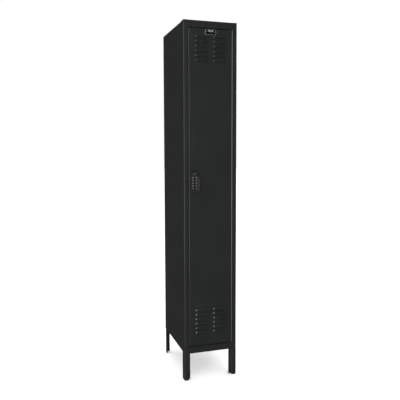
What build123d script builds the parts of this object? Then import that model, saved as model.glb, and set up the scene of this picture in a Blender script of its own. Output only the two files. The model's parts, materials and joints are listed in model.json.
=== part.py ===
"""Steel locker cabinet: one column, one door, on four legs.

Millimetres. X runs to the right as seen from the front, Y runs into the cabinet and Z is up.
The origin is on the floor, under the middle of the whole object's box.
"""
import os

from build123d import *

os.makedirs("parts", exist_ok=True)

# ---- driving dimensions -------------------------------------------------------------------
WIDTH = 304.8
BODY_DEPTH = 457.2
HEIGHT = 1981.2
LEG_HEIGHT = 152.4
LOCK_PROUD = 22.0  # how far the finger pull stands in front of the door

FRAME_GAUGE = 1.52
PANEL_GAUGE = 0.76
BEND = 2.4  # outer radius of every bend in the frame and the door
TIGHT_BEND = BEND - FRAME_GAUGE
PANEL_BEND = 1.6

STILE_FACE = 25.4
STILE_FLANGE = 46.0
RAIL_FACE = 38.1
RAIL_FLANGE = 30.0
JAMB_DEPTH = 22.5
STRIKE_LIP = 12.0

DOOR_DEPTH = 20.0
DOOR_RETURN = 12.0
LATCH_GAP = 2.5
HINGE_GAP = 4.0
TOP_GAP = 3.0

# ---- planes and levels that follow ----------------------------------------------------------
HALF = WIDTH / 2
FRONT = LOCK_PROUD - (BODY_DEPTH + LOCK_PROUD) / 2
BACK = FRONT + BODY_DEPTH
RIVET_HEAD = 1.0
PANEL_BACK = BACK - RIVET_HEAD
SHEET_BACK = PANEL_BACK - PANEL_GAUGE
PAN_BACK = SHEET_BACK - PANEL_GAUGE - 0.2
SIDE_OUT = HALF - FRAME_GAUGE
SIDE_IN = SIDE_OUT - PANEL_GAUGE
OPENING = HALF - STILE_FACE
OPENING_TOP = HEIGHT - RAIL_FACE
OPENING_BOTTOM = LEG_HEIGHT + RAIL_FACE
ROOF = HEIGHT - FRAME_GAUGE
FLOOR = OPENING_BOTTOM - FRAME_GAUGE
SHELF = 1676.4

DOOR_LEFT = -OPENING + LATCH_GAP
DOOR_RIGHT = OPENING - HINGE_GAP
DOOR_TOP = OPENING_TOP - TOP_GAP
DOOR_BOTTOM = OPENING_BOTTOM + TOP_GAP
DOOR_X = (DOOR_LEFT + DOOR_RIGHT) / 2
DOOR_Z = (DOOR_TOP + DOOR_BOTTOM) / 2
DOOR_WIDTH = DOOR_RIGHT - DOOR_LEFT
DOOR_HEIGHT = DOOR_TOP - DOOR_BOTTOM
DOOR_INSIDE = FRONT + FRAME_GAUGE

# ---- louvres --------------------------------------------------------------------------------
LOUVRE_WIDTH = 76.0
LOUVRE_HEIGHT = 12.7
LOUVRE_RISE = 6.5
LOUVRE_WALL = 1.4
LOUVRE_PITCH = 25.4
LOUVRE_ROWS = 6
LOUVRE_COLUMNS = (-53.0, 51.0)
LOUVRE_LOWEST = (1767.0, 267.0)  # slit of the lowest row in the upper and the lower group

# ---- hinge ----------------------------------------------------------------------------------
HINGE_X = OPENING - HINGE_GAP / 2
HINGE_Y = FRONT - 1.2
HINGE_LEAF = 1.2
KNUCKLE_RADIUS = 2.8
PIN_RADIUS = 1.5
PIN_CLEARANCE = 0.06
KNUCKLES = 45
KNUCKLE_SLIT = 0.4
LEAF_BACK = FRONT + 18.0
HINGE_LENGTH = DOOR_HEIGHT - 4.0

# ---- lock -----------------------------------------------------------------------------------
LOCK_X = -97.6
LOCK_Z = 1115.0
LOCK_WIDTH = 36.0
LOCK_HEIGHT = 115.0
LOCK_DEPTH = 19.0
LOCK_WALL = 2.0
LOCK_RIGHT = LOCK_X + LOCK_WIDTH / 2
WING_REACH = 10.5
WING_HEIGHT = 84.0
WING_Z = LOCK_Z - 12.5
WING_CORNER = 13.0
WING_LIP = 3.4  # thickness of the pull at its tip
KEY_RADIUS = 4.0
KEY_PROUD = 1.5
KEY_FLANGE = 5.0
KEY_CLEARANCE = 0.3
KEY_PITCH_X = 20.0
KEY_PITCH_Z = 14.7
KEY_TOP_Z = LOCK_Z + 24.5
KEY_NAMES = ("1", "2", "3", "4", "5", "6", "7", "8", "9", "0")
SCREW_LEVELS = (LOCK_Z - 46.5, LOCK_Z + 35.5)
SCREW_RADIUS = 2.0
SCREW_BOSS = 4.0
LIGHT_Z = LOCK_Z + 45.0
LIGHT_WIDTH = 18.0
LIGHT_HEIGHT = 4.0
CASE_WIDTH = 44.0
CASE_HEIGHT = 100.0
CASE_DEPTH = 15.9
CASE_WALL = 1.4
CASE_X = -98.0
CASE_Z = LOCK_Z - 4.5
CASE_BACK = DOOR_INSIDE + CASE_DEPTH
BATTERY_Z = LOCK_Z - 16.7
BATTERY_RADIUS = 5.25
BATTERY_LENGTH = 44.5
BATTERY_PITCH = 11.2
BATTERY_CAP = 0.8
BATTERY_Y = FRONT + 9.6
COVER_WIDTH = 36.0
COVER_HEIGHT = 46.0
COVER_PLAY = 0.4
BOLT_Y = FRONT + 9.5
BOLT_Z = LOCK_Z + 19.5
BOLT_THICK = 8.0
BOLT_TALL = 14.0
BOLT_TIP = DOOR_LEFT + 0.5
BOLT_END = -106.0
COIL_LEFT = -101.0
COIL_RIGHT = -79.0
PLUNGER_RADIUS = 2.5
BOLT_PLAY = 0.8
BOARD_Z = LOCK_Z - 5.0
BOARD_WIDTH = 30.0
BOARD_HEIGHT = 71.0
BOARD_THICK = 1.6
MEMBRANE_THICK = 2.0
KEY_FLANGE_THICK = 1.2
RIBBON_WIDTH = 8.0
RIBBON_Z = BOLT_Z - 10.7

# ---- number plate and door stiffener --------------------------------------------------------
PLATE_Z = 1922.8
PLATE_WIDTH = 63.5
PLATE_HEIGHT = 29.0
PLATE_THICK = 1.6
PLATE_RIM = 2.2
PLATE_RECESS = 0.5
PLATE_RIVETS = [(-26.0, PLATE_Z), (26.0, PLATE_Z)]
STIFFENER_X = 18.0
STIFFENER_WIDTH = 46.0
STIFFENER_DEPTH = 13.0
STIFFENER_BRIM = 14.0
STIFFENER_GAUGE = 1.2
STIFFENER_RANGE = (440.0, 1720.0)

# ---- fasteners ------------------------------------------------------------------------------
SHANK_RADIUS = 2.4
HOLE_RADIUS = 2.6
HEAD_RADIUS = 4.5
HEAD_THICK = 1.3
NUT_RADIUS = 4.6
NUT_THICK = 3.0
ANCHOR_RADIUS = 3.5

PAN_FLANGE = 18.0
FLOOR_FLANGE = 34.0
BOLT_ROWS_Y = (-120.0, 60.0, 205.0)
PAN_BOLT_DROP = 11.0
PAN_BOLTS = [
    (y, level)
    for y in BOLT_ROWS_Y
    for level in (ROOF - PAN_BOLT_DROP, SHELF - PAN_BOLT_DROP)
]
FLOOR_BOLTS = [(y, FLOOR - PAN_BOLT_DROP) for y in BOLT_ROWS_Y[:2]]
LEG_FLANGE = 38.0
LEG_BOLTS = [(PANEL_BACK - 24.0, FLOOR - 9.0), (PANEL_BACK - 24.0, FLOOR - 25.0)]
HOOK_Z = 1590.0
HOOK_Y = 20.0
HOOK_BOLT_REACH = 16.0
HOOK_BOLTS = [(HOOK_Y, HOOK_Z - HOOK_BOLT_REACH), (HOOK_Y, HOOK_Z + HOOK_BOLT_REACH)]
HOOK_PLATE = 2.5
GANG_HOLES = [(FRONT + 30.0, 450.0), (FRONT + 30.0, 1650.0)]
ANCHOR_SPACING = 203.2
ANCHOR_Z = 1900.0
BACK_RIVETS = [240.0 + 240.0 * step for step in range(8)]
RIVET_RADIUS = 2.0
BUMPER_LEVELS = (400.0, 900.0, 1700.0)
BUMPER_X = -120.0
BUMPER_STEM = 2.5


# ---- shared forms ---------------------------------------------------------------------------
def facing(y):
    """The upright plane at depth y, seen from the front: its first axis is X, its second is Z."""
    return Plane.XZ.offset(-y)


def folded_sheet(plane, points, radii, gauge, side, low, high):
    """A sheet folded along the points, running from low to high along the plane's normal."""
    with BuildPart() as folded:
        with BuildSketch(plane.offset(low)):
            with BuildLine():
                FilletPolyline(*points, radius=radii)
                offset(amount=gauge, side=side)
            make_face()
        extrude(amount=high - low)
    return folded.part


def flanged_pan(front, back, half_width, top, flange, bolts):
    """A flat sheet with all four edges folded down, its side flanges drilled at the (y, z) spots."""
    with BuildPart() as pan:
        with BuildSketch(Plane.XY.offset(top)):
            with Locations((0, (front + back) / 2)):
                Rectangle(2 * half_width, back - front)
        extrude(amount=-flange)
        fillet(pan.faces().sort_by(Axis.Z)[-1].edges(), radius=PANEL_BEND)
        offset(amount=-PANEL_GAUGE, openings=pan.faces().sort_by(Axis.Z)[0])
        with BuildSketch(Plane.YZ):
            with Locations(*bolts):
                Circle(HOLE_RADIUS)
        extrude(amount=HALF, both=True, mode=Mode.SUBTRACT)
    return pan.part


def louvre_form(width, height, rise, throat):
    """A hood with a rounded back and rounded ends, open below; a throat runs on behind it."""
    middle = width / 2 - height
    with BuildPart() as form:
        for start in (0, middle):
            with BuildSketch(Plane.YZ.offset(start)):
                with BuildLine():
                    EllipticalCenterArc((0, 0), rise, height, start_angle=90, arc_size=90)
                    Polyline((-rise, 0), (0, 0), (0, height))
                make_face()
            if start == 0:
                extrude(amount=middle)
            else:
                revolve(axis=Axis((middle, 0, 0), (0, 1, 0)), revolution_arc=90)
        if throat > 0:
            with BuildSketch(Plane.XZ):
                with BuildLine():
                    CenterArc((middle, 0), height, 0, 90)
                    Polyline((middle, height), (0, height), (0, 0), (middle + height, 0))
                make_face()
            extrude(amount=-throat)
        mirror(about=Plane.YZ)
    return form.part


def truss_bolt(length):
    """A bolt with a low round head, standing along +Z with its head below z = 0."""
    with BuildPart() as bolt:
        Cylinder(HEAD_RADIUS, HEAD_THICK, align=(Align.CENTER, Align.CENTER, Align.MAX))
        fillet(bolt.faces().sort_by(Axis.Z)[0].edges(), radius=HEAD_THICK * 0.7)
        Cylinder(SHANK_RADIUS, length, align=(Align.CENTER, Align.CENTER, Align.MIN))
    return bolt.part


def hex_nut():
    """A nut standing on z = 0."""
    with BuildPart() as nut:
        with BuildSketch():
            RegularPolygon(radius=NUT_RADIUS, side_count=6)
            Circle(SHANK_RADIUS + 0.05, mode=Mode.SUBTRACT)
        extrude(amount=NUT_THICK)
    return nut.part


def wall_hook():
    """A coat hook on the wall x = 0: its plate, an upturned prong and a ball at the tip."""
    with BuildPart() as hook:
        with BuildSketch(Plane.YZ):
            RectangleRounded(18, 46, 7)
            with Locations((0, -HOOK_BOLT_REACH), (0, HOOK_BOLT_REACH)):
                Circle(HOLE_RADIUS, mode=Mode.SUBTRACT)
        extrude(amount=HOOK_PLATE)
        with BuildLine() as prong:
            FilletPolyline((HOOK_PLATE - 1, 0, 0), (34, 0, -8), (44, 0, 20), radius=10)
        with BuildSketch(Plane(prong.line @ 0, z_dir=prong.line % 0)):
            Circle(3.2)
        sweep(path=prong.line)
        with Locations(prong.line @ 1):
            Sphere(5.5)
    return hook.part


def ceiling_double_hook():
    """A double hook that hangs from the plane z = 0."""
    with BuildPart() as hook:
        with BuildSketch():
            RectangleRounded(46, 18, 7)
            with Locations((-HOOK_BOLT_REACH, 0), (HOOK_BOLT_REACH, 0)):
                Circle(HOLE_RADIUS, mode=Mode.SUBTRACT)
        extrude(amount=-HOOK_PLATE)
        with Locations((0, 0, -HOOK_PLATE)):
            Cylinder(4, 30, align=(Align.CENTER, Align.CENTER, Align.MAX))
        for turn in (1, -1):
            with BuildLine() as prong:
                FilletPolyline((0, 0, -30), (turn * 30, 0, -40), (turn * 36, 0, -14), radius=9)
            with BuildSketch(Plane(prong.line @ 0, z_dir=prong.line % 0)):
                Circle(3.2)
            sweep(path=prong.line)
            with Locations(prong.line @ 1):
                Sphere(5.5)
    return hook.part


# ---- frame ----------------------------------------------------------------------------------
stile_points = [
    (-HALF, FRONT + STILE_FLANGE),
    (-HALF, FRONT),
    (-OPENING, FRONT),
    (-OPENING, FRONT + JAMB_DEPTH),
    (-OPENING + STRIKE_LIP, FRONT + JAMB_DEPTH),
]
frame_radii = [BEND, BEND, TIGHT_BEND]
stile_bar = folded_sheet(Plane.XY, stile_points, frame_radii, FRAME_GAUGE, Side.LEFT, 0, HEIGHT)
RAIL_END = OPENING + BEND

with BuildPart() as plain_stile:
    add(stile_bar)
    for low, high in ((LEG_HEIGHT, OPENING_BOTTOM), (OPENING_TOP, HEIGHT)):
        with Locations((-RAIL_END, FRONT - 1, low)):
            Box(
                BEND + STRIKE_LIP + 2, JAMB_DEPTH + 6, high - low, align=Align.MIN, mode=Mode.SUBTRACT
            )
    with BuildSketch(Plane.YZ.offset(-HALF - 1)):
        with Locations(*GANG_HOLES):
            Circle(ANCHOR_RADIUS)
    extrude(amount=5, mode=Mode.SUBTRACT)

with BuildPart() as left_frame_stile:
    add(plain_stile.part)
    with Locations((-OPENING - 1, BOLT_Y, BOLT_Z)):
        Box(6, BOLT_THICK + 2 * BOLT_PLAY, BOLT_TALL + 2 * BOLT_PLAY, mode=Mode.SUBTRACT)
    with BuildSketch(facing(FRONT + JAMB_DEPTH - 1)):
        with Locations(*[(BUMPER_X, level) for level in BUMPER_LEVELS]):
            Circle(BUMPER_STEM)
    extrude(amount=-5, mode=Mode.SUBTRACT)

with BuildPart() as right_frame_stile:
    add(plain_stile.part)
    mirror(about=Plane.YZ, mode=Mode.REPLACE)

top_points = [
    (FRONT + RAIL_FLANGE, HEIGHT),
    (FRONT, HEIGHT),
    (FRONT, OPENING_TOP),
    (FRONT + JAMB_DEPTH, OPENING_TOP),
    (FRONT + JAMB_DEPTH, OPENING_TOP - STRIKE_LIP),
]
bottom_points = [
    (FRONT + RAIL_FLANGE, LEG_HEIGHT),
    (FRONT, LEG_HEIGHT),
    (FRONT, OPENING_BOTTOM),
    (FRONT + JAMB_DEPTH, OPENING_BOTTOM),
    (FRONT + JAMB_DEPTH, OPENING_BOTTOM + STRIKE_LIP),
]


def frame_rail(points, side, lip_level):
    """A rail between the stiles; its strike lip stops short of the stiles' lips."""
    with BuildPart() as rail:
        add(folded_sheet(Plane.YZ, points, frame_radii, FRAME_GAUGE, side, -RAIL_END, RAIL_END))
        for turn in (1, -1):
            with Locations((turn * (OPENING - STRIKE_LIP / 2 + 2), FRONT + JAMB_DEPTH + 1, lip_level)):
                Box(STRIKE_LIP + 4, 10, STRIKE_LIP, mode=Mode.SUBTRACT)
    return rail.part


with BuildPart() as top_frame_rail:
    add(frame_rail(top_points, Side.LEFT, OPENING_TOP - STRIKE_LIP / 2))

with BuildPart() as bottom_frame_rail:
    add(frame_rail(bottom_points, Side.RIGHT, OPENING_BOTTOM + STRIKE_LIP / 2))

# ---- body panels ----------------------------------------------------------------------------
side_points = [
    (-SIDE_OUT, FRONT + 6),
    (-SIDE_OUT, PANEL_BACK),
    (-SIDE_OUT + PAN_FLANGE, PANEL_BACK),
]
side_sheet = folded_sheet(
    Plane.XY, side_points, PANEL_BEND, PANEL_GAUGE, Side.RIGHT, LEG_HEIGHT, ROOF
)

with BuildPart() as left_side_panel:
    add(side_sheet)
    with BuildSketch(Plane.YZ.offset(-HALF - 1)):
        with Locations(*PAN_BOLTS, *FLOOR_BOLTS, *LEG_BOLTS, *HOOK_BOLTS):
            Circle(HOLE_RADIUS)
        with Locations(*GANG_HOLES):
            Circle(ANCHOR_RADIUS)
    extrude(amount=5, mode=Mode.SUBTRACT)
    with BuildSketch(facing(PANEL_BACK + 1)):
        with Locations(*[(-SIDE_OUT + 10, level) for level in BACK_RIVETS]):
            Circle(RIVET_RADIUS)
    extrude(amount=4, mode=Mode.SUBTRACT)

with BuildPart() as right_side_panel:
    add(left_side_panel.part)
    mirror(about=Plane.YZ, mode=Mode.REPLACE)

BACK_HALF = SIDE_IN - 1.4
with BuildPart() as back_panel:
    with BuildSketch(facing(SHEET_BACK)):
        with Locations((0, (LEG_HEIGHT + ROOF) / 2)):
            Rectangle(2 * BACK_HALF, ROOF - LEG_HEIGHT)
        with Locations((-ANCHOR_SPACING / 2, ANCHOR_Z), (ANCHOR_SPACING / 2, ANCHOR_Z)):
            Circle(ANCHOR_RADIUS, mode=Mode.SUBTRACT)
        with Locations((0, HOOK_Z - HOOK_BOLT_REACH), (0, HOOK_Z + HOOK_BOLT_REACH)):
            Circle(HOLE_RADIUS, mode=Mode.SUBTRACT)
        rivet_spots = [(turn * (SIDE_OUT - 10), level) for turn in (1, -1) for level in BACK_RIVETS]
        with Locations(*rivet_spots):
            Circle(RIVET_RADIUS, mode=Mode.SUBTRACT)
    extrude(amount=PANEL_GAUGE)


def pan_bolts(top):
    """Where the bolts go through a pan's side flanges, as (y, z)."""
    return [(y, top - PAN_BOLT_DROP) for y in BOLT_ROWS_Y]


with BuildPart() as top_panel:
    add(flanged_pan(FRONT + 3, PAN_BACK, SIDE_IN, ROOF, PAN_FLANGE, pan_bolts(ROOF)))

with BuildPart() as bottom_panel:
    floor_holes = FLOOR_BOLTS + LEG_BOLTS
    add(flanged_pan(FRONT + 3, PAN_BACK, SIDE_IN, FLOOR, FLOOR_FLANGE, floor_holes))

with BuildPart() as hat_shelf:
    shelf_front = FRONT + JAMB_DEPTH + 4
    add(flanged_pan(shelf_front, PAN_BACK, SIDE_IN, SHELF, PAN_FLANGE, pan_bolts(SHELF)))
    with Locations((-HOOK_BOLT_REACH, HOOK_Y, SHELF), (HOOK_BOLT_REACH, HOOK_Y, SHELF)):
        Cylinder(HOLE_RADIUS, 4, mode=Mode.SUBTRACT)

# ---- rear legs ------------------------------------------------------------------------------
LEG_OUT = SIDE_IN - PANEL_GAUGE
LEG_BACK = PAN_BACK - PANEL_GAUGE
leg_points = [
    (-LEG_OUT, LEG_BACK - LEG_FLANGE),
    (-LEG_OUT, LEG_BACK),
    (-LEG_OUT + STILE_FACE, LEG_BACK),
]

with BuildPart() as rear_left_leg:
    add(
        folded_sheet(
            Plane.XY, leg_points, BEND, FRAME_GAUGE, Side.RIGHT, 0, FLOOR - PANEL_BEND - 0.4
        )
    )
    with BuildSketch(Plane.YZ.offset(-HALF)):
        with Locations(*LEG_BOLTS):
            Circle(HOLE_RADIUS)
    extrude(amount=8, mode=Mode.SUBTRACT)

with BuildPart() as rear_right_leg:
    add(rear_left_leg.part)
    mirror(about=Plane.YZ, mode=Mode.REPLACE)

# ---- hooks ----------------------------------------------------------------------------------
hook_form = wall_hook()

with BuildPart() as left_wall_hook:
    with Locations((-SIDE_IN, HOOK_Y, HOOK_Z)):
        add(hook_form)

with BuildPart() as right_wall_hook:
    add(left_wall_hook.part)
    mirror(about=Plane.YZ, mode=Mode.REPLACE)

BACK_INSIDE = SHEET_BACK - PANEL_GAUGE
with BuildPart() as back_wall_hook:
    with Locations(Location((0, BACK_INSIDE, HOOK_Z), (0, 0, -90))):
        add(hook_form)

with BuildPart() as ceiling_hook:
    with Locations((0, HOOK_Y, SHELF - PANEL_GAUGE)):
        add(ceiling_double_hook())

# ---- fasteners of the body ------------------------------------------------------------------
pan_bolt = truss_bolt(8.0)
nut_form = hex_nut()
FLANGE_IN = SIDE_IN - PANEL_GAUGE
LEG_IN = FLANGE_IN - FRAME_GAUGE
HOOK_IN = SIDE_IN - HOOK_PLATE


def fasten(form, spots, side_x):
    """Copies of a bolt or nut on both sides, pointing inwards from side_x."""
    for y, z in spots:
        with Locations(Location((-side_x, y, z), (0, 90, 0)), Location((side_x, y, z), (0, -90, 0))):
            add(form)


with BuildPart() as panel_bolts:
    fasten(pan_bolt, PAN_BOLTS + FLOOR_BOLTS, SIDE_OUT)

with BuildPart() as panel_nuts:
    fasten(nut_form, PAN_BOLTS + FLOOR_BOLTS, FLANGE_IN)

with BuildPart() as leg_bolts:
    fasten(pan_bolt, LEG_BOLTS, SIDE_OUT)

with BuildPart() as leg_nuts:
    fasten(nut_form, LEG_BOLTS, LEG_IN)

back_hook_spots = [(0, HOOK_Z - HOOK_BOLT_REACH), (0, HOOK_Z + HOOK_BOLT_REACH)]
shelf_hook_spots = [-HOOK_BOLT_REACH, HOOK_BOLT_REACH]

with BuildPart() as hook_bolts:
    fasten(pan_bolt, HOOK_BOLTS, SIDE_OUT)
    for x, z in back_hook_spots:
        with Locations(Location((x, SHEET_BACK, z), (90, 0, 0))):
            add(pan_bolt)
    for x in shelf_hook_spots:
        with Locations(Location((x, HOOK_Y, SHELF), (180, 0, 0))):
            add(pan_bolt)

with BuildPart() as hook_nuts:
    fasten(nut_form, HOOK_BOLTS, HOOK_IN)
    for x, z in back_hook_spots:
        with Locations(Location((x, BACK_INSIDE - HOOK_PLATE, z), (90, 0, 0))):
            add(nut_form)
    for x in shelf_hook_spots:
        with Locations(Location((x, HOOK_Y, SHELF - PANEL_GAUGE - HOOK_PLATE), (180, 0, 0))):
            add(nut_form)

with BuildPart() as back_rivets:
    with BuildSketch(facing(PANEL_BACK)):
        with Locations(*rivet_spots):
            Circle(RIVET_RADIUS * 1.8)
    extrude(amount=-RIVET_HEAD)
    fillet(back_rivets.faces().sort_by(Axis.Y)[-len(rivet_spots):].edges(), radius=0.7)
    with BuildSketch(facing(PANEL_BACK)):
        with Locations(*rivet_spots):
            Circle(RIVET_RADIUS)
    extrude(amount=3 * PANEL_GAUGE)

# ---- strike and bumpers ---------------------------------------------------------------------
STRIKE_BACK_X = -OPENING - FRAME_GAUGE
with BuildPart() as latch_strike:
    with Locations((STRIKE_BACK_X, BOLT_Y, BOLT_Z)):
        Box(1.6, 13, 44, align=(Align.MAX, Align.CENTER, Align.CENTER))
    fillet(latch_strike.edges().filter_by(Axis.X), radius=3)
    with Locations((STRIKE_BACK_X, BOLT_Y, BOLT_Z)):
        Box(6, BOLT_THICK + 1.0, BOLT_TALL + 1.0, mode=Mode.SUBTRACT)

LIP_FRONT = FRONT + JAMB_DEPTH
with BuildPart() as rubber_bumpers:
    bumper_spots = [(BUMPER_X, level) for level in BUMPER_LEVELS]
    with BuildSketch(facing(LIP_FRONT)):
        with Locations(*bumper_spots):
            Circle(4.5)
    extrude(amount=JAMB_DEPTH - DOOR_DEPTH - 0.4)
    fillet(rubber_bumpers.faces().sort_by(Axis.Y)[:3].edges(), radius=1.0)
    with BuildSketch(facing(LIP_FRONT)):
        with Locations(*bumper_spots):
            Circle(BUMPER_STEM)
    extrude(amount=-FRAME_GAUGE)
    with BuildSketch(facing(LIP_FRONT + FRAME_GAUGE)):
        with Locations(*bumper_spots):
            Circle(3.5)
    extrude(amount=-1.6)

# ---- hinge ----------------------------------------------------------------------------------
KNUCKLE_PITCH = HINGE_LENGTH / KNUCKLES
HINGE_LOW = DOOR_Z - HINGE_LENGTH / 2
LEAF_GAP = HINGE_GAP / 2 - HINGE_LEAF


def hinge_leaf(turn, first_slot):
    """One leaf with its own knuckles; turn is 1 on the frame's side and -1 on the door's."""
    with BuildPart() as leaf:
        with BuildSketch(Plane.XY.offset(HINGE_LOW)):
            with Locations((HINGE_X, HINGE_Y)):
                Circle(KNUCKLE_RADIUS)
            with Locations((HINGE_X + turn * (LEAF_GAP + HINGE_LEAF / 2), HINGE_Y + 1.0)):
                Rectangle(HINGE_LEAF, LEAF_BACK - HINGE_Y - 1.0, align=(Align.CENTER, Align.MIN))
            with Locations((HINGE_X, HINGE_Y)):
                Circle(PIN_RADIUS + PIN_CLEARANCE, mode=Mode.SUBTRACT)
        extrude(amount=HINGE_LENGTH)
        for slot in range(first_slot, KNUCKLES, 2):
            low = HINGE_LOW + slot * KNUCKLE_PITCH - KNUCKLE_SLIT / 2
            with Locations((HINGE_X, HINGE_Y, low)):
                Cylinder(
                    KNUCKLE_RADIUS + 0.3,
                    KNUCKLE_PITCH + KNUCKLE_SLIT,
                    align=(Align.CENTER, Align.CENTER, Align.MIN),
                    mode=Mode.SUBTRACT,
                )
    return leaf.part


with BuildPart() as frame_hinge_leaf:
    add(hinge_leaf(1, 1))

with BuildPart() as door_hinge_leaf:
    add(hinge_leaf(-1, 0))

with BuildPart() as hinge_pin:
    with BuildSketch(Plane.XY.offset(HINGE_LOW)):
        with Locations((HINGE_X, HINGE_Y)):
            Circle(PIN_RADIUS)
    extrude(amount=HINGE_LENGTH)
    chamfer(hinge_pin.faces().filter_by(Axis.Z).edges(), length=0.4)

# ---- door -----------------------------------------------------------------------------------
louvre_hood = louvre_form(LOUVRE_WIDTH, LOUVRE_HEIGHT, LOUVRE_RISE, 0)
louvre_hollow = louvre_form(
    LOUVRE_WIDTH - 2 * LOUVRE_WALL,
    LOUVRE_HEIGHT - LOUVRE_WALL,
    LOUVRE_RISE - LOUVRE_WALL,
    FRAME_GAUGE + 1,
)
louvre_spots = [
    (x, FRONT, lowest + row * LOUVRE_PITCH)
    for x in LOUVRE_COLUMNS
    for lowest in LOUVRE_LOWEST
    for row in range(LOUVRE_ROWS)
]
screw_spots = [(LOCK_X, level) for level in SCREW_LEVELS]

with BuildPart() as door_panel:
    with BuildSketch(facing(FRONT)):
        with Locations((DOOR_X, DOOR_Z)):
            Rectangle(DOOR_WIDTH, DOOR_HEIGHT)
    extrude(amount=-DOOR_DEPTH)
    fillet(door_panel.faces().sort_by(Axis.Y)[0].edges(), radius=BEND)
    offset(amount=-FRAME_GAUGE, openings=door_panel.faces().sort_by(Axis.Y)[-1])
    for left in (DOOR_LEFT, DOOR_RIGHT - DOOR_RETURN):
        with Locations((left, FRONT + DOOR_DEPTH - FRAME_GAUGE, DOOR_BOTTOM + 8)):
            Box(DOOR_RETURN, FRAME_GAUGE, DOOR_HEIGHT - 16, align=Align.MIN)
    with Locations(*louvre_spots):
        add(louvre_hood)
    with Locations(*louvre_spots):
        add(louvre_hollow, mode=Mode.SUBTRACT)
    with BuildSketch(facing(FRONT - 1)):
        with Locations(*PLATE_RIVETS):
            Circle(RIVET_RADIUS)
        with Locations(*screw_spots):
            Circle(SCREW_RADIUS + 0.3)
        with Locations((LOCK_X, RIBBON_Z)):
            Circle(RIBBON_WIDTH / 2 + 1)
    extrude(amount=-4, mode=Mode.SUBTRACT)
    with Locations((DOOR_LEFT, BOLT_Y, BOLT_Z)):
        Box(6, BOLT_THICK + BOLT_PLAY, BOLT_TALL + BOLT_PLAY, mode=Mode.SUBTRACT)

brim_out = STIFFENER_WIDTH / 2 + STIFFENER_BRIM
stiffener_points = [
    (STIFFENER_X - brim_out, DOOR_INSIDE),
    (STIFFENER_X - STIFFENER_WIDTH / 2, DOOR_INSIDE),
    (STIFFENER_X - STIFFENER_WIDTH / 2, DOOR_INSIDE + STIFFENER_DEPTH),
    (STIFFENER_X + STIFFENER_WIDTH / 2, DOOR_INSIDE + STIFFENER_DEPTH),
    (STIFFENER_X + STIFFENER_WIDTH / 2, DOOR_INSIDE),
    (STIFFENER_X + brim_out, DOOR_INSIDE),
]
outer_bend = 2 * STIFFENER_GAUGE
stiffener_radii = [outer_bend, STIFFENER_GAUGE, STIFFENER_GAUGE, outer_bend]

with BuildPart() as door_stiffener:
    add(
        folded_sheet(
            Plane.XY, stiffener_points, stiffener_radii, STIFFENER_GAUGE, Side.LEFT, *STIFFENER_RANGE
        )
    )

# ---- number plate ---------------------------------------------------------------------------
PLATE_FRONT = FRONT - PLATE_THICK
PLATE_FIELD = PLATE_FRONT + PLATE_RECESS

with BuildPart() as number_plate:
    with BuildSketch(facing(FRONT)):
        with Locations((0, PLATE_Z)):
            RectangleRounded(PLATE_WIDTH, PLATE_HEIGHT, 8)
    extrude(amount=PLATE_THICK)
    fillet(number_plate.faces().sort_by(Axis.Y)[0].edges(), radius=0.6)
    with BuildSketch(facing(PLATE_FRONT)):
        with Locations((0, PLATE_Z)):
            RectangleRounded(PLATE_WIDTH - 2 * PLATE_RIM, PLATE_HEIGHT - 2 * PLATE_RIM, 6)
    extrude(amount=-PLATE_RECESS, mode=Mode.SUBTRACT)
    with BuildSketch(facing(PLATE_FRONT - 1)):
        with Locations(*PLATE_RIVETS):
            Circle(RIVET_RADIUS)
    extrude(amount=-PLATE_THICK - 2, mode=Mode.SUBTRACT)

with BuildPart() as plate_rivets:
    with BuildSketch(facing(PLATE_FIELD)):
        with Locations(*PLATE_RIVETS):
            Circle(RIVET_RADIUS * 1.5)
    extrude(amount=1.0)
    fillet(plate_rivets.faces().sort_by(Axis.Y)[:2].edges(), radius=0.7)
    with BuildSketch(facing(PLATE_FIELD)):
        with Locations(*PLATE_RIVETS):
            Circle(RIVET_RADIUS)
    extrude(amount=-(DOOR_INSIDE - PLATE_FIELD))
    with BuildSketch(facing(DOOR_INSIDE)):
        with Locations(*PLATE_RIVETS):
            Circle(RIVET_RADIUS * 1.3)
    extrude(amount=-1.0)

# ---- lock, outside --------------------------------------------------------------------------
LOCK_FACE = FRONT - LOCK_DEPTH
LOCK_INNER_FACE = LOCK_FACE + LOCK_WALL
key_spots = [
    (LOCK_X + turn * KEY_PITCH_X / 2, KEY_TOP_Z - row * KEY_PITCH_Z)
    for row in range(len(KEY_NAMES) // 2)
    for turn in (-1, 1)
]

wing_root = (LOCK_RIGHT - 8, LOCK_FACE)
wing_heel = (LOCK_RIGHT - 4, LOCK_FACE + 8)
wing_tip = (LOCK_RIGHT + WING_REACH - 1, FRONT - LOCK_PROUD)
wing_lip = (LOCK_RIGHT + WING_REACH, FRONT - LOCK_PROUD + WING_LIP)

with BuildPart() as pull_wing:
    with BuildSketch(Plane.XY.offset(WING_Z - WING_HEIGHT / 2)):
        with BuildLine():
            ThreePointArc(wing_root, (LOCK_RIGHT + 4, LOCK_FACE - 0.7), wing_tip)
            Line(wing_tip, wing_lip)
            ThreePointArc(wing_lip, (LOCK_RIGHT + 6, LOCK_FACE + 2.2), wing_heel)
            Line(wing_heel, wing_root)
        make_face()
    extrude(amount=WING_HEIGHT)
    with BuildSketch(facing(FRONT)):
        with Locations((LOCK_RIGHT - 6, WING_Z)):
            RectangleRounded(2 * (WING_REACH + 6), WING_HEIGHT, WING_CORNER)
    extrude(amount=LOCK_PROUD + 1, mode=Mode.INTERSECT)

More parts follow.
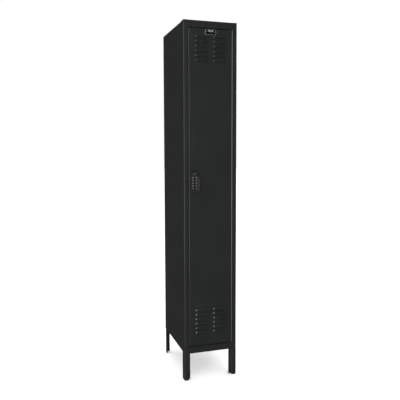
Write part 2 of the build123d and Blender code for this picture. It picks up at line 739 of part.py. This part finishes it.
with BuildPart() as lock_housing:
    with BuildSketch(facing(FRONT)):
        with Locations((LOCK_X, LOCK_Z)):
            RectangleRounded(LOCK_WIDTH, LOCK_HEIGHT, 7)
    extrude(amount=LOCK_DEPTH)
    fillet(lock_housing.faces().sort_by(Axis.Y)[0].edges(), radius=3)
    add(pull_wing.part)
    with BuildSketch(facing(FRONT)):
        with Locations((LOCK_X, LOCK_Z)):
            RectangleRounded(LOCK_WIDTH - 2 * LOCK_WALL, LOCK_HEIGHT - 2 * LOCK_WALL, 5)
        with Locations(*screw_spots):
            Circle(3.3, mode=Mode.SUBTRACT)
    extrude(amount=LOCK_DEPTH - LOCK_WALL, mode=Mode.SUBTRACT)
    with BuildSketch(facing(FRONT)):
        with Locations(*screw_spots):
            Circle(SCREW_RADIUS)
    extrude(amount=14, mode=Mode.SUBTRACT)
    with BuildSketch(facing(LOCK_FACE - 1)):
        with Locations(*key_spots):
            Circle(KEY_RADIUS + KEY_CLEARANCE)
        with Locations((LOCK_X, LIGHT_Z)):
            Rectangle(LIGHT_WIDTH, LIGHT_HEIGHT)
    extrude(amount=-LOCK_WALL - 2, mode=Mode.SUBTRACT)

with BuildPart() as status_light:
    with BuildSketch(facing(LOCK_INNER_FACE)):
        with Locations((LOCK_X, LIGHT_Z)):
            Rectangle(LIGHT_WIDTH, LIGHT_HEIGHT)
    extrude(amount=LOCK_WALL + 0.3)
    fillet(status_light.faces().sort_by(Axis.Y)[0].edges(), radius=0.25)

BOARD_FRONT = LOCK_INNER_FACE + 4.8
BOARD_BACK = BOARD_FRONT + BOARD_THICK

with BuildPart() as keypad_membrane:
    with BuildSketch(facing(BOARD_FRONT)):
        with Locations((LOCK_X, BOARD_Z)):
            RectangleRounded(BOARD_WIDTH, BOARD_HEIGHT, 2)
    extrude(amount=MEMBRANE_THICK)

with BuildPart() as keypad_board:
    with BuildSketch(facing(BOARD_BACK)):
        with Locations((LOCK_X, BOARD_Z)):
            Rectangle(BOARD_WIDTH, BOARD_HEIGHT)
    extrude(amount=BOARD_THICK)
    with BuildSketch(facing(BOARD_BACK)):
        with Locations((LOCK_X - 6, BOARD_Z - 18)):
            Rectangle(8, 8)
    extrude(amount=-1.4)

with BuildPart() as ribbon_cable:
    with Locations((LOCK_X, BOARD_BACK, RIBBON_Z)):
        Box(
            RIBBON_WIDTH,
            FRONT + 8 - BOARD_BACK,
            0.8,
            align=(Align.CENTER, Align.MIN, Align.CENTER),
        )

keys = {}
for name, spot in zip(KEY_NAMES, key_spots):
    with BuildPart() as key:
        with BuildSketch(facing(LOCK_INNER_FACE + 1.5)):
            with Locations(spot):
                Circle(KEY_RADIUS)
        extrude(amount=1.5 + LOCK_WALL + KEY_PROUD)
        fillet(key.faces().sort_by(Axis.Y)[0].edges(), radius=0.8)
        with BuildSketch(facing(LOCK_INNER_FACE + 1.5)):
            with Locations(spot):
                Circle(KEY_FLANGE)
        extrude(amount=KEY_FLANGE_THICK)
    keys["key_" + name] = key

# ---- lock, inside ---------------------------------------------------------------------------
with BuildPart() as lock_back_case:
    with BuildSketch(facing(DOOR_INSIDE)):
        with Locations((CASE_X, CASE_Z)):
            RectangleRounded(CASE_WIDTH, CASE_HEIGHT, 3)
    extrude(amount=-CASE_DEPTH)
    fillet(lock_back_case.faces().sort_by(Axis.Y)[-1].edges(), radius=1.2)
    with BuildSketch(facing(DOOR_INSIDE)):
        with Locations((CASE_X, CASE_Z)):
            RectangleRounded(CASE_WIDTH - 2 * CASE_WALL, CASE_HEIGHT - 2 * CASE_WALL, 2)
        with Locations(*screw_spots):
            Circle(SCREW_BOSS, mode=Mode.SUBTRACT)
    extrude(amount=-(CASE_DEPTH - CASE_WALL), mode=Mode.SUBTRACT)
    with BuildSketch(facing(DOOR_INSIDE - 1)):
        with Locations(*screw_spots):
            Circle(SCREW_RADIUS + 0.3)
    extrude(amount=-CASE_DEPTH - 2, mode=Mode.SUBTRACT)
    with BuildSketch(facing(CASE_BACK - CASE_WALL - 1)):
        with Locations((CASE_X, BATTERY_Z)):
            Rectangle(COVER_WIDTH, COVER_HEIGHT)
    extrude(amount=-CASE_WALL - 2, mode=Mode.SUBTRACT)
    with Locations((CASE_X - CASE_WIDTH / 2, BOLT_Y, BOLT_Z)):
        Box(6, BOLT_THICK + BOLT_PLAY, BOLT_TALL + BOLT_PLAY, mode=Mode.SUBTRACT)

with BuildPart() as battery_cover:
    with BuildSketch(facing(CASE_BACK)):
        with Locations((CASE_X, BATTERY_Z)):
            Rectangle(COVER_WIDTH - COVER_PLAY, COVER_HEIGHT - COVER_PLAY)
    extrude(amount=CASE_WALL)
    with BuildSketch(facing(CASE_BACK)):
        with Locations((CASE_X, BATTERY_Z + 17)):
            SlotOverall(14, 4)
    extrude(amount=0.7, mode=Mode.SUBTRACT)

cell_spots = [(CASE_X + step * BATTERY_PITCH, BATTERY_Y) for step in (-1, 0, 1)]

with BuildPart() as batteries:
    with BuildSketch(Plane.XY.offset(BATTERY_Z - BATTERY_LENGTH / 2)):
        with Locations(*cell_spots):
            Circle(BATTERY_RADIUS)
    extrude(amount=BATTERY_LENGTH - BATTERY_CAP)
    fillet(batteries.faces().filter_by(Axis.Z).edges(), radius=0.6)
    with BuildSketch(Plane.XY.offset(BATTERY_Z + BATTERY_LENGTH / 2 - BATTERY_CAP)):
        with Locations(*cell_spots):
            Circle(1.9)
    extrude(amount=BATTERY_CAP)

with BuildPart() as bolt_solenoid:
    with Locations((COIL_LEFT, BOLT_Y, BOLT_Z)):
        Box(COIL_RIGHT - COIL_LEFT, 12, 14, align=(Align.MIN, Align.CENTER, Align.CENTER))
    fillet(bolt_solenoid.edges().filter_by(Axis.X), radius=2)
    with BuildSketch(Plane.YZ.offset(COIL_LEFT - 1)):
        with Locations((BOLT_Y, BOLT_Z)):
            Circle(PLUNGER_RADIUS + 0.4)
    extrude(amount=COIL_RIGHT - COIL_LEFT - 2, mode=Mode.SUBTRACT)

with BuildPart() as lock_screws:
    with BuildSketch(facing(CASE_BACK)):
        with Locations(*screw_spots):
            Circle(3.4)
    extrude(amount=-2.2)
    fillet(lock_screws.faces().sort_by(Axis.Y)[-2:].edges(), radius=1.2)
    with BuildSketch(facing(CASE_BACK)):
        with Locations(*screw_spots):
            Circle(SCREW_RADIUS - 0.05)
    extrude(amount=CASE_BACK - (FRONT - 12))
    with BuildSketch(facing(CASE_BACK + 2.3)):
        with Locations(*screw_spots):
            RegularPolygon(radius=1.6, side_count=6)
    extrude(amount=1.3, mode=Mode.SUBTRACT)

# ---- latch bolt -----------------------------------------------------------------------------
with BuildPart() as latch_bolt:
    with Locations((BOLT_TIP, BOLT_Y, BOLT_Z)):
        Box(
            BOLT_END - BOLT_TIP,
            BOLT_THICK,
            BOLT_TALL,
            align=(Align.MIN, Align.CENTER, Align.CENTER),
        )
    chamfer(latch_bolt.faces().sort_by(Axis.X)[0].edges(), length=1.0)

with BuildPart() as solenoid_plunger:
    with BuildSketch(Plane.YZ.offset(BOLT_END)):
        with Locations((BOLT_Y, BOLT_Z)):
            Circle(PLUNGER_RADIUS)
    extrude(amount=21)

# ---- hand over ------------------------------------------------------------------------------
pieces = {
    "left_frame_stile": left_frame_stile,
    "right_frame_stile": right_frame_stile,
    "top_frame_rail": top_frame_rail,
    "bottom_frame_rail": bottom_frame_rail,
    "left_side_panel": left_side_panel,
    "right_side_panel": right_side_panel,
    "back_panel": back_panel,
    "top_panel": top_panel,
    "bottom_panel": bottom_panel,
    "hat_shelf": hat_shelf,
    "rear_left_leg": rear_left_leg,
    "rear_right_leg": rear_right_leg,
    "left_wall_hook": left_wall_hook,
    "right_wall_hook": right_wall_hook,
    "back_wall_hook": back_wall_hook,
    "ceiling_hook": ceiling_hook,
    "panel_bolts": panel_bolts,
    "panel_nuts": panel_nuts,
    "leg_bolts": leg_bolts,
    "leg_nuts": leg_nuts,
    "hook_bolts": hook_bolts,
    "hook_nuts": hook_nuts,
    "back_rivets": back_rivets,
    "latch_strike": latch_strike,
    "rubber_bumpers": rubber_bumpers,
    "frame_hinge_leaf": frame_hinge_leaf,
    "hinge_pin": hinge_pin,
    "door_hinge_leaf": door_hinge_leaf,
    "door_panel": door_panel,
    "door_stiffener": door_stiffener,
    "number_plate": number_plate,
    "plate_rivets": plate_rivets,
    "lock_housing": lock_housing,
    "status_light": status_light,
    "keypad_membrane": keypad_membrane,
    "keypad_board": keypad_board,
    "ribbon_cable": ribbon_cable,
    "lock_back_case": lock_back_case,
    "battery_cover": battery_cover,
    "batteries": batteries,
    "bolt_solenoid": bolt_solenoid,
    "lock_screws": lock_screws,
    "latch_bolt": latch_bolt,
    "solenoid_plunger": solenoid_plunger,
}
pieces.update(keys)

for name, piece in pieces.items():
    piece.part.label = name
    export_step(piece.part, "parts/" + name + ".step")
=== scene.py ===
"""Looks of the locker cabinet: finishes, numerals, light, floor and camera. Lengths are in metres."""
import json
import math

import bmesh
import bpy
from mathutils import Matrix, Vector


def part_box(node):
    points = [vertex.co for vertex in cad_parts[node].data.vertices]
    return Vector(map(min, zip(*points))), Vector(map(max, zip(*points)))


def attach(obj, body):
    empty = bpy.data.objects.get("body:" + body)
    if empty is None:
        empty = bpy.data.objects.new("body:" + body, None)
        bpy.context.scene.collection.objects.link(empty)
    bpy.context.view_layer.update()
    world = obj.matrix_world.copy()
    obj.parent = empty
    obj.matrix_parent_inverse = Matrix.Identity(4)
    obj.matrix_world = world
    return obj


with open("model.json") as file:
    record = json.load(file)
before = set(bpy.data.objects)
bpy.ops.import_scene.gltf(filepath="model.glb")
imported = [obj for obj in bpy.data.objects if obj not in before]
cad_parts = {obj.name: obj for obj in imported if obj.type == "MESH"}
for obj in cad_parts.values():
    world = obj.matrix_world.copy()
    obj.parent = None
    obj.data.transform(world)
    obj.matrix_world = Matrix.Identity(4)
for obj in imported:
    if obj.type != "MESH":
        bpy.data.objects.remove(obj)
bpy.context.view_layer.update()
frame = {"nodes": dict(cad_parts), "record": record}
nodes = frame["nodes"]
MM = 0.001
KEY_COUNT = 10


def add_object(name, data):
    """A new object in the scene, at the origin."""
    added = bpy.data.objects.new(name, data)
    bpy.context.scene.collection.objects.link(added)
    return added


def feed(tree, value, socket):
    """Give the socket its value: another node's output, or a constant."""
    if isinstance(value, bpy.types.NodeSocket):
        tree.links.new(value, socket)
    else:
        socket.default_value = value


# ---- camera -----------------------------------------------------------------------------------
CAMERA_PLACE = (-0.9235, -2.9209, 1.2929)
CAMERA_YAW = 17.69  # degrees to the right of the locker's own depth axis
CAMERA_PITCH = -4.5
CAMERA_ROLL = 0.12
FOCAL_LENGTH = 46.66  # millimetres, as is the sensor
SENSOR_WIDTH = 36.0
SHIFT_UP = -0.0248  # of the picture's width


def make_camera():
    lens = bpy.data.cameras.new("camera")
    lens.lens = FOCAL_LENGTH
    lens.sensor_width = SENSOR_WIDTH
    lens.shift_y = SHIFT_UP
    camera = add_object("camera", lens)
    camera.location = CAMERA_PLACE
    camera.rotation_euler = (
        math.radians(90 + CAMERA_PITCH),
        math.radians(CAMERA_ROLL),
        math.radians(-CAMERA_YAW),
    )
    bpy.context.scene.camera = camera


# ---- light and floor --------------------------------------------------------------------------
BACKGROUND = 1.0  # the white behind the locker
ROOM_LIGHT = 1.5  # the even light that falls on it from all sides
ROOM_GLOSS = 0.05  # the dim room that its gloss reflects
WALL_GLOSS = 1.7  # a pale wall at the front left, which only its gloss reflects
WALL_AZIMUTH = 50
WALL_EDGE = 0.78  # the wall starts at this cosine of the angle from its middle
WALL_CORE = 0.92  # and is fully pale from this one on
FLOOR_SPAN = 60.0


def level_direction(azimuth):
    """A level direction from the locker: azimuth 0 is in front of the door, 90 on its left."""
    turn = math.radians(azimuth)
    return Vector((-math.sin(turn), -math.cos(turn), 0))


def softbox(name, azimuth, distance, height, size, power, aim_height):
    """A rectangular light that faces the locker's upright middle line."""
    light = bpy.data.lights.new(name, "AREA")
    light.shape = "RECTANGLE"
    light.size, light.size_y = size
    light.energy = power
    lamp = add_object(name, light)
    lamp.location = distance * level_direction(azimuth) + Vector((0, 0, height))
    aim = Vector((0, 0, aim_height)) - lamp.location
    lamp.rotation_euler = aim.to_track_quat("-Z", "Y").to_euler()


def make_lights():
    """A tall softbox at the front left, a small one above it, and a tall one behind the right side."""
    softbox("key_softbox", 30, 3.0, height=1.3, size=(1.6, 2.8), power=39, aim_height=1.0)
    softbox("top_softbox", 20, 2.2, height=3.9, size=(1.6, 1.0), power=9, aim_height=0.9)
    softbox("fill_softbox", 255, 3.0, height=1.4, size=(1.6, 2.6), power=55, aim_height=1.0)


def room_gloss(tree):
    """How bright the reflected room is by direction: dim, with the pale wall in it."""
    facing = tree.nodes.new("ShaderNodeVectorMath")
    facing.operation = "DOT_PRODUCT"
    feed(tree, tree.nodes.new("ShaderNodeTexCoord").outputs["Generated"], facing.inputs[0])
    feed(tree, level_direction(WALL_AZIMUTH), facing.inputs[1])
    wall = tree.nodes.new("ShaderNodeMapRange")
    wall.interpolation_type = "SMOOTHSTEP"
    feed(tree, facing.outputs["Value"], wall.inputs["Value"])
    feed(tree, WALL_EDGE, wall.inputs["From Min"])
    feed(tree, WALL_CORE, wall.inputs["From Max"])
    feed(tree, ROOM_GLOSS, wall.inputs["To Min"])
    feed(tree, WALL_GLOSS, wall.inputs["To Max"])
    return wall.outputs["Result"]


def make_world():
    """White behind the object, an even room light, and a room of its own for reflections."""
    world = bpy.data.worlds.new("studio")
    world.use_nodes = True
    tree = world.node_tree
    rays = tree.nodes.new("ShaderNodeLightPath").outputs
    strengths = (
        ("Is Camera Ray", BACKGROUND),
        ("Is Diffuse Ray", ROOM_LIGHT),
        ("Is Glossy Ray", room_gloss(tree)),
    )
    total = 0.0
    for ray, strength in strengths:
        added = tree.nodes.new("ShaderNodeMath")
        added.operation = "MULTIPLY_ADD"
        feed(tree, rays[ray], added.inputs[0])
        feed(tree, strength, added.inputs[1])
        feed(tree, total, added.inputs[2])
        total = added.outputs["Value"]
    background = tree.nodes["Background"]
    feed(tree, total, background.inputs["Strength"])
    feed(tree, (1, 1, 1, 1), background.inputs["Color"])
    bpy.context.scene.world = world


def make_floor():
    """A plain pale floor, which the locker doesn't reflect."""
    half = FLOOR_SPAN / 2
    corners = [(-half, -half, 0), (half, -half, 0), (half, half, 0), (-half, half, 0)]
    mesh = bpy.data.meshes.new("studio_floor")
    mesh.from_pydata(corners, [], [(0, 1, 2, 3)])
    floor = add_object("studio_floor", mesh)
    floor.visible_glossy = False
    finish = Finish("pale_floor", 0.9)
    finish.shade(grey(0.88), grey(0.92), finish.noise(3.0))
    finish.set("Specular IOR Level", 0.1)
    finish.cover(floor)


# ---- finishes ---------------------------------------------------------------------------------
FINE_GRAIN = 700.0  # cells per metre in the skin of paint and plating
MOST_NOISE = (0.3, 0.7)  # nearly all of a noise's values lie between these
MID_NOISE = (0.35, 0.65)  # and the middle ones between these
FACTOR, FIRST, SECOND, MIXED = 0, 6, 7, 2  # places of a colour mix node's sockets, whose names repeat


def grey(level):
    return (level, level, level)


class Finish:
    """A principled material whose colour and relief come from textures in the object's space.

    Its roughness is even unless roughen varies it.
    """

    def __init__(self, name, roughness, metallic=0.0):
        self.material = bpy.data.materials.new(name)
        self.material.use_nodes = True
        self.tree = self.material.node_tree
        self.shader = self.tree.nodes["Principled BSDF"]
        self.set("Metallic", metallic)
        self.set("Roughness", roughness)
        self.place = self.tree.nodes.new("ShaderNodeTexCoord").outputs["Object"]

    def set(self, socket, value):
        self.shader.inputs[socket].default_value = value

    def stretched(self, stretch):
        """The object's space, stretched along its axes."""
        mapping = self.tree.nodes.new("ShaderNodeMapping")
        feed(self.tree, stretch, mapping.inputs["Scale"])
        feed(self.tree, self.place, mapping.inputs["Vector"])
        return mapping.outputs["Vector"]

    def noise(self, scale, detail=2.0, stretch=None):
        """Noise with so many cells per metre."""
        texture = self.tree.nodes.new("ShaderNodeTexNoise")
        feed(self.tree, scale, texture.inputs["Scale"])
        feed(self.tree, detail, texture.inputs["Detail"])
        feed(self.tree, self.stretched(stretch) if stretch else self.place, texture.inputs["Vector"])
        return texture.outputs["Fac"]

    def ramp(self, value, low, high, first=0.0, last=1.0):
        """The value spread from first to last between low and high."""
        spread = self.tree.nodes.new("ShaderNodeMapRange")
        feed(self.tree, value, spread.inputs["Value"])
        feed(self.tree, low, spread.inputs["From Min"])
        feed(self.tree, high, spread.inputs["From Max"])
        feed(self.tree, first, spread.inputs["To Min"])
        feed(self.tree, last, spread.inputs["To Max"])
        return spread.outputs["Result"]

    def shade(self, first, second, factor):
        """Colour from the first to the second as the factor rises."""
        mix = self.tree.nodes.new("ShaderNodeMix")
        mix.data_type = "RGBA"
        feed(self.tree, factor, mix.inputs[FACTOR])
        feed(self.tree, (*first, 1), mix.inputs[FIRST])
        feed(self.tree, (*second, 1), mix.inputs[SECOND])
        feed(self.tree, mix.outputs[MIXED], self.shader.inputs["Base Color"])

    def roughen(self, value, low, high):
        """Roughness from low to high as the noise rises."""
        feed(self.tree, self.ramp(value, *MOST_NOISE, low, high), self.shader.inputs["Roughness"])

    def relief(self, height, depth, strength=1.0):
        """Bumps as deep as this where the height runs from 0 to 1."""
        bump = self.tree.nodes.new("ShaderNodeBump")
        feed(self.tree, height, bump.inputs["Height"])
        feed(self.tree, depth, bump.inputs["Distance"])
        feed(self.tree, strength, bump.inputs["Strength"])
        feed(self.tree, bump.outputs["Normal"], self.shader.inputs["Normal"])

    def cover(self, *objects):
        for covered in objects:
            covered.data.materials.clear()
            covered.data.materials.append(self.material)


def powder_coat():
    finish = Finish("black_powder_coat", 0.42)
    cloud = finish.ramp(finish.noise(5.0, 3.0), *MID_NOISE)
    finish.shade((0.0070, 0.0090, 0.0082), (0.0086, 0.0108, 0.0099), cloud)
    finish.set("Coat Weight", 0.6)
    finish.set("Coat Roughness", 0.22)
    finish.roughen(finish.noise(38.0, 3.0), 0.36, 0.42)
    finish.relief(finish.noise(FINE_GRAIN), 0.06 * MM, 0.7)
    return finish


def rubbed_coat():
    """The same paint on the hinge's knuckles, glossier, and lighter in colour as a painted highlight
    along the hinge line.
    """
    finish = Finish("hinge_powder_coat_painted_highlight", 0.3)
    knuckle_mottle = finish.ramp(finish.noise(45.0, 3.0), *MID_NOISE)
    # painted highlight: the knuckles' colour is lighter than the powder coat's, so that the hinge line
    # shows brighter
    finish.shade((0.0122, 0.0146, 0.0136), (0.0150, 0.0178, 0.0166), knuckle_mottle)
    finish.set("Coat Weight", 1.0)
    finish.set("Coat Roughness", 0.18)
    finish.set("Specular IOR Level", 0.8)
    finish.roughen(knuckle_mottle, 0.29, 0.33)
    finish.relief(finish.noise(FINE_GRAIN), 0.02 * MM, 0.4)
    return finish


def zinc_plate():
    finish = Finish("zinc_plate", 0.3, metallic=1.0)
    spangle = finish.ramp(finish.noise(160.0, 4.0), *MID_NOISE)
    finish.shade((0.50, 0.51, 0.53), (0.68, 0.69, 0.70), spangle)
    finish.roughen(finish.noise(90.0, 3.0), 0.22, 0.42)
    finish.relief(finish.noise(FINE_GRAIN), 0.02 * MM, 0.5)
    return finish


def moulded_plastic():
    finish = Finish("lock_plastic", 0.5)
    finish.shade((0.0085, 0.0095, 0.0086), (0.0110, 0.0120, 0.0110), finish.noise(30.0))
    finish.set("Specular IOR Level", 0.2)
    finish.roughen(finish.noise(120.0), 0.44, 0.56)
    finish.relief(finish.noise(2600.0, 1.0), 0.02 * MM, 0.7)
    return finish


def key_metal():
    finish = Finish("key_metal", 0.36, metallic=0.9)
    streaks = finish.noise(260.0, 3.0, stretch=(1.0, 1.0, 14.0))
    finish.shade((0.30, 0.31, 0.30), (0.44, 0.45, 0.44), streaks)
    finish.roughen(streaks, 0.30, 0.44)
    finish.relief(streaks, 0.01 * MM, 0.4)
    return finish


def brushed_aluminium():
    finish = Finish("plate_aluminium", 0.34, metallic=0.9)
    streaks = finish.noise(420.0, 3.0, stretch=(1.0, 1.0, 12.0))
    finish.shade((0.46, 0.47, 0.48), (0.60, 0.61, 0.62), streaks)
    finish.roughen(streaks, 0.26, 0.42)
    finish.relief(streaks, 0.01 * MM, 0.4)
    return finish


def black_enamel():
    finish = Finish("plate_enamel", 0.3)
    finish.shade(grey(0.0025), grey(0.0045), finish.noise(60.0))
    finish.set("Specular IOR Level", 0.25)
    finish.relief(finish.noise(300.0), 0.02 * MM, 0.3)
    return finish


def number_paint():
    finish = Finish("number_paint", 0.4)
    finish.shade((0.34, 0.35, 0.35), (0.44, 0.45, 0.45), finish.noise(500.0))
    return finish


def key_ink():
    finish = Finish("key_ink", 0.45)
    finish.shade(grey(0.012), grey(0.020), finish.noise(900.0))
    return finish


def soft_rubber():
    finish = Finish("rubber", 0.75)
    finish.shade(grey(0.018), grey(0.030), finish.noise(80.0, 3.0))
    finish.relief(finish.noise(1500.0), 0.03 * MM, 0.6)
    return finish


def circuit_board():
    """Green board with a grid of fine traces."""
    finish = Finish("circuit_board", 0.3)
    traces = finish.tree.nodes.new("ShaderNodeTexBrick")
    feed(finish.tree, finish.stretched((420.0, 420.0, 420.0)), traces.inputs["Vector"])
    feed(finish.tree, 0.03, traces.inputs["Mortar Size"])
    finish.shade((0.010, 0.085, 0.035), (0.022, 0.150, 0.060), traces.outputs["Fac"])
    finish.relief(traces.outputs["Fac"], 0.03 * MM, 0.5)
    return finish


def ribbon():
    """Flat cable with its wires side by side."""
    finish = Finish("ribbon", 0.45)
    wires = finish.tree.nodes.new("ShaderNodeTexWave")
    feed(finish.tree, 160.0, wires.inputs["Scale"])
    feed(finish.tree, finish.place, wires.inputs["Vector"])
    finish.shade((0.30, 0.30, 0.32), (0.55, 0.55, 0.57), wires.outputs["Fac"])
    finish.relief(wires.outputs["Fac"], 0.15 * MM, 0.6)
    return finish


BAND_HEIGHT = 14.0 * MM  # the coloured band round the top of each battery
BAND_EDGE = 0.3 * MM  # over which its colour fades out


def battery_sleeve():
    finish = Finish("battery_sleeve", 0.28)
    axes = finish.tree.nodes.new("ShaderNodeSeparateXYZ")
    feed(finish.tree, finish.place, axes.inputs["Vector"])
    _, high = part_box("batteries")
    band_foot = high.z - BAND_HEIGHT
    band = finish.ramp(axes.outputs["Z"], band_foot, band_foot + BAND_EDGE)
    finish.shade((0.012, 0.013, 0.016), (0.60, 0.24, 0.07), band)
    finish.relief(finish.noise(400.0), 0.02 * MM, 0.3)
    return finish


def status_lens():
    finish = Finish("status_lens", 0.2)
    finish.shade((0.045, 0.047, 0.046), (0.065, 0.067, 0.066), finish.noise(300.0))
    finish.set("Coat Weight", 0.5)
    return finish


ROUND_NODES = (
    "frame_hinge_leaf", "door_hinge_leaf", "hinge_pin", "left_wall_hook", "right_wall_hook",
    "back_wall_hook", "ceiling_hook", "panel_bolts", "leg_bolts", "hook_bolts", "back_rivets",
    "plate_rivets", "lock_screws", "batteries", "rubber_bumpers", "solenoid_plunger",
    *(f"key_{number}" for number in range(KEY_COUNT)),
)
SHARP_FROM = math.radians(32)


def shade_round_nodes():
    """Round pieces are shaded smooth, with every edge over the angle kept sharp."""
    for name in ROUND_NODES:
        nodes[name].data.shade_smooth()
        nodes[name].data.set_sharp_from_angle(angle=SHARP_FROM)


def dress_nodes():
    """Every CAD node gets the finish of its material slot, and the hinge's leaves the glossier coat with
    the painted highlight.
    """
    finishes = {
        "black_powder_coat": powder_coat(),
        "zinc_plate": zinc_plate(),
        "lock_plastic": moulded_plastic(),
        "key_metal": key_metal(),
        "plate_aluminium": brushed_aluminium(),
        "rubber": soft_rubber(),
        "circuit_board": circuit_board(),
        "ribbon": ribbon(),
        "battery_sleeve": battery_sleeve(),
        "status_lens": status_lens(),
    }
    for part in frame["record"]["subparts"]:
        finishes[part["material_slot"]].cover(nodes[part["node"]])
    # the hinge's leaves get the coat whose lighter colour is a painted highlight
    rubbed_coat().cover(nodes["frame_hinge_leaf"], nodes["door_hinge_leaf"])


# ---- numerals and the plate's field -----------------------------------------------------------
NUMERAL_SINK = 0.01 * MM  # how far numerals are let into the surface that they stand on
NUMERAL_STEPS = 6  # to each curve of a numeral
KEY_NUMERAL_SIZE = 5.6 * MM
KEY_NUMERAL_THICKNESS = 0.08 * MM
PLATE_RIM = 2.3 * MM
PLATE_RECESS = 0.5 * MM
FIELD_THICKNESS = 0.15 * MM
FIELD_CORNER = 5.8 * MM
CORNER_STEPS = 8  # to a quarter turn
PLATE_NUMBER = "1024"
PLATE_NUMBER_SIZE = 14.0 * MM
PLATE_NUMBER_SPACING = 1.15
PLATE_NUMBER_THICKNESS = 0.3 * MM
PLATE_NUMBER_DROP = 8.2 * MM  # from the plate's top edge to the number's middle


def middle(values):
    return (max(values) + min(values)) / 2


def raised_text(name, words, size, place, thickness, body, finish, spacing=1.0):
    """Upright numerals facing the front: place is their centre, on the surface that they stand on."""
    curve = bpy.data.curves.new(name, "FONT")
    curve.body = words
    curve.size = size
    curve.space_character = spacing
    curve.align_x = "CENTER"
    curve.align_y = "CENTER"
    curve.extrude = thickness / 2
    curve.resolution_u = NUMERAL_STEPS
    source = add_object(name + "_source", curve)
    bpy.context.view_layer.update()
    shaped = source.evaluated_get(bpy.context.evaluated_depsgraph_get())
    mesh = bpy.data.meshes.new_from_object(shaped)
    bpy.data.objects.remove(source)
    centre_x = middle([vertex.co.x for vertex in mesh.vertices])
    centre_y = middle([vertex.co.y for vertex in mesh.vertices])
    for vertex in mesh.vertices:
        across, up, out = vertex.co.x - centre_x, vertex.co.y - centre_y, vertex.co.z + thickness / 2
        vertex.co = (place[0] + across, place[1] - out, place[2] + up)
    piece = add_object(name, mesh)
    finish.cover(piece)
    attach(piece, body)


def make_key_numerals():
    ink = key_ink()
    for number in range(KEY_COUNT):
        low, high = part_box(f"key_{number}")
        place = ((low.x + high.x) / 2, low.y + NUMERAL_SINK, (low.z + high.z) / 2)
        raised_text(
            f"key_numeral_{number}", str(number), KEY_NUMERAL_SIZE, place, KEY_NUMERAL_THICKNESS,
            body=f"button_{number}", finish=ink,
        )


def rounded_outline(centre_x, centre_z, width, height, radius):
    """Points of an upright rounded rectangle, anticlockwise from its right side, seen from the front."""
    points = []
    for quarter, (right, up) in enumerate(((1, 1), (-1, 1), (-1, -1), (1, -1))):
        for step in range(CORNER_STEPS + 1):
            angle = math.radians(90 * (quarter + step / CORNER_STEPS))
            x = centre_x + right * (width / 2 - radius) + radius * math.cos(angle)
            z = centre_z + up * (height / 2 - radius) + radius * math.sin(angle)
            points.append((x, z))
    return points


def slab(name, outline, front_y, back_y):
    """A flat piece with this outline in X and Z."""
    form = bmesh.new()
    front = [form.verts.new((x, front_y, z)) for x, z in outline]
    back = [form.verts.new((x, back_y, z)) for x, z in outline]
    form.faces.new(front)
    form.faces.new(reversed(back))
    for step, vertex in enumerate(front):
        following = (step + 1) % len(front)
        form.faces.new((vertex, back[step], back[following], front[following]))
    bmesh.ops.recalc_face_normals(form, faces=form.faces)
    mesh = bpy.data.meshes.new(name)
    form.to_mesh(mesh)
    form.free()
    return add_object(name, mesh)


def make_plate_face():
    """The plate's enamelled field, in its shallow recess, and its raised number."""
    low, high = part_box("number_plate")
    centre_x, centre_z = (low.x + high.x) / 2, (low.z + high.z) / 2
    width, height = high.x - low.x - 2 * PLATE_RIM, high.z - low.z - 2 * PLATE_RIM
    outline = rounded_outline(centre_x, centre_z, width, height, FIELD_CORNER)
    recess = low.y + PLATE_RECESS
    field_front = recess - FIELD_THICKNESS
    field = slab("plate_field", outline, field_front, recess)
    black_enamel().cover(field)
    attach(field, "door")
    place = (centre_x, field_front + NUMERAL_SINK, high.z - PLATE_NUMBER_DROP)
    raised_text(
        "plate_number", PLATE_NUMBER, PLATE_NUMBER_SIZE, place, PLATE_NUMBER_THICKNESS,
        body="door", finish=number_paint(), spacing=PLATE_NUMBER_SPACING,
    )


bpy.context.scene.view_settings.view_transform = "Standard"
make_camera()
make_world()
make_lights()
make_floor()
dress_nodes()
shade_round_nodes()
make_key_numerals()
make_plate_face()
